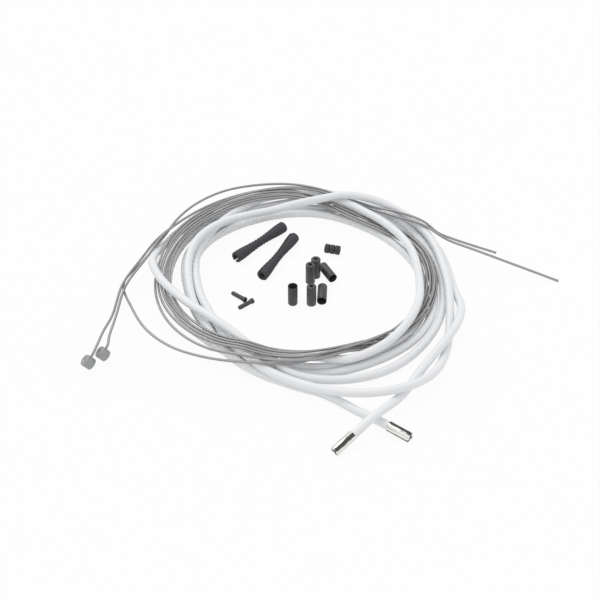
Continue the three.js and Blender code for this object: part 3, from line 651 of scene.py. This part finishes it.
def black_plastic(finish):
    """Moulded black plastic with a satin skin."""
    colour = settings("fittings").plastic_colour
    patch = finish.noise(finish.own_place(), 500.0, 3.0)
    grain = finish.noise(finish.own_place(), 4200.0, 3.0)
    return finish.surface(
        base_color=finish.mix(patch, rgba(colour, 0.8), rgba(colour, 1.3)),
        roughness=patch.ramp(0.3, 0.7, 0.34, 0.48),
        specular_ior_level=0.2,
        ior=1.25,
        normal=finish.bump(grain, 0.35, 0.00004))


def black_rubber(finish):
    """Matt black rubber with a dusty grain."""
    colour = settings("fittings").rubber_colour
    patch = finish.noise(finish.own_place(), 380.0, 4.0)
    grain = finish.noise(finish.own_place(), 3600.0, 4.0)
    return finish.surface(
        base_color=finish.mix(patch, rgba(colour, 0.8), rgba(colour, 1.4)),
        roughness=patch.ramp(0.3, 0.7, 0.46, 0.6),
        specular_ior_level=0.2,
        ior=1.25,
        normal=finish.bump(grain, 0.5, 0.00006))


# ---- Making pieces ----


def head_middle(place):
    """The middle of a head that leans on the rim of its closed end, in the plan."""
    fittings = settings("fittings")
    lean = math.sqrt(1 - HEAD_FACE.z ** 2)
    height = (fittings.head_length * HEAD_FACE.z + fittings.head_diameter * lean) / 2 / MM
    return Vector((*place, height))


def frame_offset():
    """From the plan of the lay to the frame, found at the front head."""
    low, high = (Vector(corner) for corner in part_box("barrel_head_front"))
    return (low + high) / 2 - head_middle(FRONT_HEAD) * MM


def in_frame(points):
    """Points of the plan, in millimetres, as points of the frame, in metres."""
    offset = frame_offset()
    return [Vector(point) * MM + offset for point in points]


def plan_direction(degrees):
    """A direction in the plan, counter-clockwise from +X."""
    angle = math.radians(degrees)
    return Vector((math.cos(angle), math.sin(angle), 0))


def smooth_path(points, step, lowest):
    """A smooth line through the points, with even steps and never below a height."""
    chords = [(b - a).length for a, b in zip(points, points[1:])]
    slopes = []
    for k in range(len(points)):
        before, after = max(k - 1, 0), min(k, len(chords) - 1)
        arriving = (points[before + 1] - points[before]) / chords[before]
        leaving = (points[after + 1] - points[after]) / chords[after]
        share = chords[before] / (chords[before] + chords[after])
        slopes.append(arriving.lerp(leaving, share))
    line = []
    for k, chord in enumerate(chords):
        count = max(round(chord / step) * 4, 4)
        for n in range(count):
            s = n / count
            line.append(points[k] * ((1 + 2 * s) * (1 - s) ** 2)
                        + slopes[k] * (chord * s * (1 - s) ** 2)
                        + points[k + 1] * (s * s * (3 - 2 * s))
                        + slopes[k + 1] * (chord * s * s * (s - 1)))
    line.append(points[-1].copy())
    for place in line:
        place.z = max(place.z, lowest)
    return even_steps(line, step)


def even_steps(line, step):
    """The same line with points at equal distances."""
    reach = [0.0]
    for a, b in zip(line, line[1:]):
        reach.append(reach[-1] + (b - a).length)
    count = round(reach[-1] / step)
    evened, k = [], 0
    for n in range(count + 1):
        goal = reach[-1] * n / count
        while k < len(line) - 2 and reach[k + 1] < goal:
            k += 1
        evened.append(line[k].lerp(line[k + 1], (goal - reach[k]) / (reach[k + 1] - reach[k])))
    return evened


def path_length(path):
    """The length of a line of points."""
    return sum((b - a).length for a, b in zip(path, path[1:]))


def scene_object(name, data):
    """A new object in the scene."""
    made = bpy.data.objects.new(name, data)
    bpy.context.scene.collection.objects.link(made)
    return made


def curve_object(name, points, cyclic, tilt=0.0):
    """A helper curve of straight steps, which turns by tilt at each step."""
    data = bpy.data.curves.new(name, "CURVE")
    data.dimensions = "2D" if cyclic else "3D"
    spline = data.splines.new("POLY")
    spline.points.add(len(points) - 1)
    spline.use_cyclic_u = cyclic
    for k, (point, place) in enumerate(zip(spline.points, points)):
        point.co = (*place, 1.0)
        point.tilt = tilt * k
    return scene_object(name, data)


def sweep(name, path, section, tilt=0.0):
    """A closed, smooth mesh swept along a path with a flat section."""
    outline = curve_object(f"{name}_section", section, True)
    line = curve_object(f"{name}_line", path, False, tilt)
    line.data.bevel_mode = "OBJECT"
    line.data.bevel_object = outline
    line.data.use_fill_caps = True
    line.data.twist_mode = "MINIMUM"
    bpy.context.view_layer.update()
    graph = bpy.context.evaluated_depsgraph_get()
    mesh = bpy.data.meshes.new_from_object(line.evaluated_get(graph))
    mesh.name = name
    mesh.shade_smooth()
    for helper in (line, outline):
        data = helper.data
        bpy.data.objects.remove(helper)
        bpy.data.curves.remove(data)
    return mesh


def add_piece(name, mesh, material, slot, *nodes):
    """Puts a finished mesh into the scene, riding on the frame."""
    mesh.materials.clear()
    mesh.materials.append(material)
    piece = scene_object(name, mesh)
    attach(piece, BODY)
    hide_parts(*nodes)
    return piece


def ring_points(radius, count):
    """Points of a circle in the XY plane."""
    return [(radius * math.cos(TAU * k / count), radius * math.sin(TAU * k / count), 0)
            for k in range(count)]


# The valley and the crown's two ends of a strand: shares of its width and of the wire's radius
STRAND_OUTLINE = [(0.0, 0.86), (0.32, 1.0), (0.68, 1.0)]


def strand_points(radius, strands):
    """The outline of a stranded wire: rounded strands with narrow valleys between."""
    outline = []
    for strand in range(strands):
        for across, height in STRAND_OUTLINE:
            angle = TAU * (strand + across) / strands
            reach = radius * height
            outline.append((reach * math.cos(angle), reach * math.sin(angle), 0))
    return outline


MERGE_DISTANCE = 1e-7
SHARP_EDGE = math.radians(30)
SHADED_SHARP = math.radians(35)


def turned(profile, steps=64, angle=TAU, closed=True):
    """A solid turned about Z from a profile of radii and heights in millimetres."""
    bm = bmesh.new()
    chain = [bm.verts.new((r * MM, 0, z * MM)) for r, z in profile]
    ends = chain[1:] + chain[:1] if closed else chain[1:]
    edges = [bm.edges.new(pair) for pair in zip(chain, ends)]
    full = angle == TAU
    bmesh.ops.spin(bm, geom=chain + edges, cent=(0, 0, 0), axis=(0, 0, 1), angle=angle,
                   steps=steps, use_merge=full)
    bmesh.ops.remove_doubles(bm, verts=bm.verts, dist=MERGE_DISTANCE)
    if not full:
        bmesh.ops.holes_fill(bm, edges=[edge for edge in bm.edges if edge.is_boundary])
    bmesh.ops.recalc_face_normals(bm, faces=bm.faces)
    return bm


def soften(bm, width, segments=2):
    """Rounds the sharp edges by a width in millimetres."""
    edges = [edge for edge in bm.edges
             if edge.is_manifold and edge.calc_face_angle(0) > SHARP_EDGE]
    bmesh.ops.bevel(bm, geom=edges, offset=width * MM, segments=segments, profile=0.5,
                    affect="EDGES", material=-1)


def placed_mesh(name, bm, matrix):
    """A smooth mesh in its place in the frame, which keeps its own coordinates."""
    own = bm.verts.layers.float_vector.new("own_place")
    for vert in bm.verts:
        vert[own] = vert.co
    for face in bm.faces:
        face.smooth = True
    bmesh.ops.transform(bm, matrix=matrix, verts=bm.verts)
    mesh = bpy.data.meshes.new(name)
    bm.to_mesh(mesh)
    bm.free()
    mesh.set_sharp_from_angle(angle=SHADED_SHARP)
    return mesh


def aimed(start, goal):
    """The placing that turns local +Z from one point of the plan towards another."""
    direction = Vector(goal) - Vector(start)
    turn = Vector((0, 0, 1)).rotation_difference(direction)
    return Matrix.Translation(in_frame([start])[0]) @ turn.to_matrix().to_4x4()


def lying(x, y, height, direction, length):
    """The placing of a piece on its side, whose local 0 end points in a direction."""
    along = plan_direction(direction) * (length / 2)
    middle = Vector((x, y, height))
    return aimed(middle + along, middle - along)


# ---- The cords ----


def head_exit(place):
    """The wire's first two points: inside the head's bore, and straight out of it."""
    middle = head_middle(place)
    return [middle + WIRE_DIRECTION * GAP, middle + WIRE_DIRECTION * WIRE_OUT_OF_HEAD]


def ferrule_line(place):
    """A housing ferrule's mouth and the direction into it, in the plan."""
    rest = Vector((0, 0, settings("fittings").ferrule_diameter / MM / 2))
    mouth, tip = (Vector(end) + rest for end in place)
    return mouth, (tip - mouth).normalized()


def housing_in_ferrule(place):
    """The housing's two points in a ferrule: at its mouth, and near its bottom."""
    mouth, inward = ferrule_line(place)
    return [mouth, mouth + inward * (FERRULE_SOCKET_DEPTH - HOUSING_END_CLEARANCE)]


ROUTES = {}


def cord_routes():
    """The three cords' points in the plan, worked out once for both operators."""
    if not ROUTES:
        housing, long_wire, short_wire = laid_cords()
        ROUTES["outer_housing"] = [
            *reversed(housing_in_ferrule(RIGHT_FERRULE)), *map(Vector, HOUSING_START),
            *housing, *map(Vector, HOUSING_END), *housing_in_ferrule(LEFT_FERRULE)]
        ROUTES["inner_wire_long"] = [
            *head_exit(FRONT_HEAD), *map(Vector, LONG_WIRE_START),
            *long_wire, *map(Vector, LONG_WIRE_END)]
        ROUTES["inner_wire_short"] = [
            *head_exit(BACK_HEAD), *map(Vector, SHORT_WIRE_START),
            *short_wire, *map(Vector, SHORT_WIRE_END)]
    return ROUTES


HOUSING_STEP = 2.5
HOUSING_SIDES = 28
RINGS_PER_LAY = 16


class CABLESET_OT_inner_wires(bpy.types.Operator):
    """Make the two stranded inner wires"""

    bl_idname = "cable_set.inner_wires"
    bl_label = "Inner wires"

    def execute(self, context):
        cords = settings("cords")
        radius = cords.wire_diameter / 2
        step = cords.strand_lay / RINGS_PER_LAY
        section = strand_points(radius, cords.strands)
        for name in ("inner_wire_long", "inner_wire_short"):
            path = smooth_path(in_frame(cord_routes()[name]), step, radius)
            mesh = sweep(name, path, section, TAU / RINGS_PER_LAY)
            piece = add_piece(f"{name}_strands", mesh, once(bare_strands),
                              "wire", name)
            path_length(path)
        return {"FINISHED"}


class CABLESET_OT_outer_housing(bpy.types.Operator):
    """Make the coiled outer housing"""

    bl_idname = "cable_set.outer_housing"
    bl_label = "Outer housing"

    def execute(self, context):
        diameter = settings("cords").housing_diameter
        points = in_frame(cord_routes()["outer_housing"])
        path = smooth_path(points, HOUSING_STEP * MM, diameter / 2)
        mesh = sweep("outer_housing", path, ring_points(diameter / 2, HOUSING_SIDES))
        piece = add_piece("outer_housing_cover", mesh, once(white_cover),
                          "housing", "outer_housing")
        path_length(path)
        return {"FINISHED"}


# ---- The fittings ----


def ferrule_profile(length, radius):
    """A ferrule's section: the socket opens at height 0, the closed end has a hole."""
    wall = 0.25
    hole = 1.1
    # The closed end's shoulder: in from the radius, and down from the end
    shoulder = [(0, 0.6), (0.25, 0.2), (0.7, 0)]
    socket = radius - wall
    return [(socket, 0), (radius, 0),
            *((radius - inwards, length - down) for inwards, down in shoulder),
            (hole, length), (hole, FERRULE_SOCKET_DEPTH + 1), (socket, FERRULE_SOCKET_DEPTH)]


def add_ferrule(name, node, matrix, material, slot):
    """A ferrule that stands for one of the frame's."""
    fittings = settings("fittings")
    bm = turned(ferrule_profile(fittings.ferrule_length / MM,
                                fittings.ferrule_diameter / MM / 2))
    soften(bm, 0.08)
    return add_piece(name, placed_mesh(name, bm, matrix), material, slot, node)


class CABLESET_OT_housing_ferrules(bpy.types.Operator):
    """Make the two plated ferrules on the housing's ends"""

    bl_idname = "cable_set.housing_ferrules"
    bl_label = "Housing ferrules"

    def execute(self, context):
        for node, place in (("housing_ferrule_right", RIGHT_FERRULE),
                            ("housing_ferrule_left", LEFT_FERRULE)):
            mouth, inward = ferrule_line(place)
            add_ferrule(f"{node}_tube", node, aimed(mouth, mouth + inward),
                        once(plating_with_painted_reflections), "plated_ferrule")
        return {"FINISHED"}


class CABLESET_OT_loose_ferrules(bpy.types.Operator):
    """Make the six black ferrules"""

    bl_idname = "cable_set.loose_ferrules"
    bl_label = "Loose ferrules"

    def execute(self, context):
        fittings = settings("fittings")
        length = fittings.ferrule_length / MM
        radius = fittings.ferrule_diameter / MM / 2
        placings = {}
        for node, x, y, socket_up in STANDING_FERRULES:
            low, high = (x, y, 0), (x, y, length)
            placings[node] = aimed(high, low) if socket_up else aimed(low, high)
        for node, x, y, direction in LYING_FERRULES:
            placings[node] = lying(x, y, radius, direction, length)
        for node, matrix in placings.items():
            add_ferrule(f"{node}_cup", node, matrix, once(black_plastic),
                        "black_plastic")
        return {"FINISHED"}


class CABLESET_OT_barrel_heads(bpy.types.Operator):
    """Make the wires' barrel heads"""

    bl_idname = "cable_set.barrel_heads"
    bl_label = "Barrel heads"

    def execute(self, context):
        fittings = settings("fittings")
        radius = fittings.head_diameter / MM / 2
        half = fittings.head_length / MM / 2
        chamfer = 0.35
        # The recess in the open face: radii, and depths below the face
        recess = [(1.75, 0), (1.6, 0.2), (1.25, 0.25), (1.0, 0.55), (0, 0.55)]
        profile = [(0, -half), (radius - chamfer, -half), (radius, chamfer - half),
                   (radius, half - chamfer), (radius - chamfer, half),
                   *((r, half - depth) for r, depth in recess)]
        for node, place in (("barrel_head_front", FRONT_HEAD), ("barrel_head_back", BACK_HEAD)):
            bm = turned(profile, closed=False)
            soften(bm, 0.12)
            middle = head_middle(place)
            matrix = aimed(middle, middle + HEAD_FACE)
            add_piece(f"{node}_barrel", placed_mesh(node, bm, matrix),
                      once(cast_metal), "head", node)
        return {"FINISHED"}


class CABLESET_OT_frame_guards(bpy.types.Operator):
    """Make the two slit frame guards"""

    bl_idname = "cable_set.frame_guards"
    bl_label = "Frame guards"

    def execute(self, context):
        fittings = settings("fittings")
        half = fittings.guard_length / MM / 2
        end = fittings.guard_end / MM / 2
        waist = fittings.guard_waist / MM / 2
        slit = math.degrees(GUARD_SLIT / waist)
        sides = 56
        for node, x, y, direction, slit_at in GUARDS:
            bm = turned(self.profile(half, end, waist), sides, math.radians(360 - slit))
            bmesh.ops.rotate(bm, verts=bm.verts, cent=(0, 0, 0), matrix=Matrix.Rotation(
                math.radians(slit_at + slit / 2), 3, "Z"))
            middle = Vector((x, y, end))
            matrix = aimed(middle, middle + plan_direction(direction))
            add_piece(f"{node}_sleeve", placed_mesh(node, bm, matrix),
                      once(black_rubber), "black_rubber", node)
        return {"FINISHED"}

    @staticmethod
    def profile(half, end, waist):
        """The sleeve's section: flared ends, a ribbed waist and widened mouths."""
        outside = []
        steps, lip = 86, 0.8
        even_waist, even_end = 2, 3
        ribbed, faded, pitch, rib = 8.6, 1.2, 2.4, 0.2
        for k in range(steps + 1):
            z = -half + lip + (2 * half - 2 * lip) * k / steps
            flared = (abs(z) - even_waist) / (half - even_waist - even_end)
            share = min(max(flared, 0), 1)
            radius = waist + (end - waist) * share * share * (3 - 2 * share)
            fade = min(max((ribbed - abs(z)) / faded, 0), 1)
            outside.append((radius + fade * rib * math.cos(TAU * z / pitch), z))
        mouth, bore, depth = 2.1, 1.1, 6
        edge, crown = 0.3, 0.08
        return [(mouth, -half), (end - edge, -half), (end - crown, edge - half), *outside,
                (end - crown, half - edge), (end - edge, half), (mouth, half),
                (bore, half - depth), (bore, depth - half)]


class CABLESET_OT_cable_rings(bpy.types.Operator):
    """Make the row of cable rings"""

    bl_idname = "cable_set.cable_rings"
    bl_label = "Cable rings"

    def execute(self, context):
        fittings = settings("fittings")
        outer = fittings.ring_diameter / MM / 2
        half = fittings.ring_width / MM / 2
        hole = (WIRE_DIAMETER + GAP) / 2
        edge, edge_steps = 0.6, 4
        x, y, direction, count = CABLE_RINGS
        along = plan_direction(direction)
        for k in range(count):
            middle = Vector((x, y, outer)) + along * ((k - (count - 1) / 2) * (2 * half + GAP))
            bm = turned([(hole, -half), (outer, -half), (outer, half), (hole, half)])
            soften(bm, edge, edge_steps)
            node = f"cable_ring_{k + 1}"
            add_piece(f"{node}_band", placed_mesh(node, bm, aimed(middle, middle + along)),
                      once(black_rubber), "black_rubber", node)
        return {"FINISHED"}


class CABLESET_OT_end_caps(bpy.types.Operator):
    """Make the two wire end caps"""

    bl_idname = "cable_set.end_caps"
    bl_label = "Wire end caps"

    def execute(self, context):
        fittings = settings("fittings")
        length = fittings.cap_length / MM
        radius = fittings.cap_diameter / MM / 2
        mouth = 1.7
        bore = (WIRE_DIAMETER + GAP) / 2
        # From the bore's blind end out of the flared mouth, then along to the rounded tip
        profile = [(0, length - 2), (bore, length - 2.6), (bore, 2.2), (mouth - 0.3, 0),
                   (mouth, 0), (mouth, 1.1), (radius + 0.08, 2.1), (radius, 2.6),
                   (radius, length - 1.2), (radius * 0.8, length - 0.35),
                   (radius * 0.42, length), (0, length)]
        for node, x, y, direction in END_CAPS:
            bm = turned(profile, closed=False)
            soften(bm, 0.08)
            matrix = lying(x, y, mouth, direction, length)
            add_piece(f"{node}_sleeve", placed_mesh(node, bm, matrix),
                      once(black_plastic), "black_plastic", node)
        return {"FINISHED"}


# ---- The stage ----


SENSOR_WIDTH = 36.0
FLOOR_SIZE = 4.0
# How much of the floor's seen colour glows, so that the rest keeps the soft shadow
FLOOR_GLOW = 0.92
KEY_SPREAD = math.radians(35)
KEY_TURN = (math.radians(-28), math.radians(-22), 0)


def shown_rays(finish):
    """1 for the rays that show the background: camera, glossy and transmission."""
    rays = [finish.node("ShaderNodeLightPath", output=name)
            for name in ("Is Camera Ray", "Is Glossy Ray", "Is Transmission Ray")]
    return rays[0].maths("MAXIMUM", rays[1]).maths("MAXIMUM", rays[2])


class CABLESET_OT_stage(bpy.types.Operator):
    """Make the camera, the light and the floor"""

    bl_idname = "cable_set.stage"
    bl_label = "Stage"

    def execute(self, context):
        self.add_camera(context)
        self.add_floor()
        self.add_light(context)
        context.scene.view_settings.view_transform = "Standard"
        return {"FINISHED"}

    @staticmethod
    def add_camera(context):
        """The photograph's view: from the front, looking down at the plan's origin."""
        stage = settings("stage")
        data = bpy.data.cameras.new("camera")
        data.lens = stage.lens
        data.sensor_width = SENSOR_WIDTH
        camera = scene_object("camera", data)
        back = Vector((0, -math.cos(stage.elevation), math.sin(stage.elevation)))
        camera.location = in_frame([(0, 0, 0)])[0] + back * stage.distance
        camera.rotation_euler = (math.pi / 2 - stage.elevation, 0, 0)
        context.scene.camera = camera

    @staticmethod
    def add_floor():
        """A white floor that keeps a soft shadow."""
        bm = bmesh.new()
        bmesh.ops.create_grid(bm, x_segments=1, y_segments=1, size=FLOOR_SIZE)
        mesh = bpy.data.meshes.new("floor")
        bm.to_mesh(mesh)
        bm.free()
        finish = Finish(bpy.data.materials.new("white_floor"))
        matt = finish.node("ShaderNodeBsdfDiffuse", inputs={"Color": (0.9, 0.9, 0.9, 1)})
        glow = finish.node("ShaderNodeEmission", inputs={"Color": (1, 1, 1, 1)})
        shown = shown_rays(finish)
        mixed = finish.node("ShaderNodeMixShader", inputs=(shown * FLOOR_GLOW, matt, glow))
        finish.node("ShaderNodeOutputMaterial", inputs={"Surface": mixed})
        mesh.materials.append(finish.owner)
        scene_object("floor", mesh)

    @staticmethod
    def add_light(context):
        """Even light from all round, and one soft key light."""
        stage = settings("stage")
        world = bpy.data.worlds.new("white_sky")
        finish = Finish(world)
        shown = shown_rays(finish)
        strength = shown.ramp(0.0, 1.0, stage.sky, 1.0)
        sky = finish.node("ShaderNodeBackground", inputs={
            "Color": (1, 1, 1, 1), "Strength": strength})
        finish.node("ShaderNodeOutputWorld", inputs={"Surface": sky})
        context.scene.world = world
        data = bpy.data.lights.new("key_light", "SUN")
        data.energy = stage.sun
        data.angle = KEY_SPREAD
        scene_object("key_light", data).rotation_euler = KEY_TURN


class CABLESET_PT_panel(bpy.types.Panel):
    """The cable set's pieces"""

    bl_label = "Cable set"
    bl_space_type = "VIEW_3D"
    bl_region_type = "UI"
    bl_category = "Cable set"

    def draw(self, context):
        for operator in OPERATORS:
            self.layout.operator(operator.bl_idname)


OPERATORS = (
    CABLESET_OT_stage,
    CABLESET_OT_housing_ferrules,
    CABLESET_OT_outer_housing,
    CABLESET_OT_inner_wires,
    CABLESET_OT_barrel_heads,
    CABLESET_OT_loose_ferrules,
    CABLESET_OT_frame_guards,
    CABLESET_OT_cable_rings,
    CABLESET_OT_end_caps,
)
GROUPS = {
    "cords": CABLESET_PG_cords,
    "fittings": CABLESET_PG_fittings,
    "stage": CABLESET_PG_stage,
}


def register():
    """Adds the settings, the operators and the panel."""
    for group in (*GROUPS.values(), *OPERATORS, CABLESET_PT_panel):
        bpy.utils.register_class(group)
    for name, group in GROUPS.items():
        setattr(bpy.types.Scene, f"cable_set_{name}",
                bpy.props.PointerProperty(type=group))


def unregister():
    """Takes them out again."""
    for name in GROUPS:
        delattr(bpy.types.Scene, f"cable_set_{name}")
    for group in (CABLESET_PT_panel, *reversed(OPERATORS), *GROUPS.values()):
        bpy.utils.unregister_class(group)


def main():
    """Makes every piece."""
    register()
    for operator in OPERATORS:
        _, name = operator.bl_idname.split(".")
        getattr(bpy.ops.cable_set, name)()


if __name__ == "__main__":
    main()
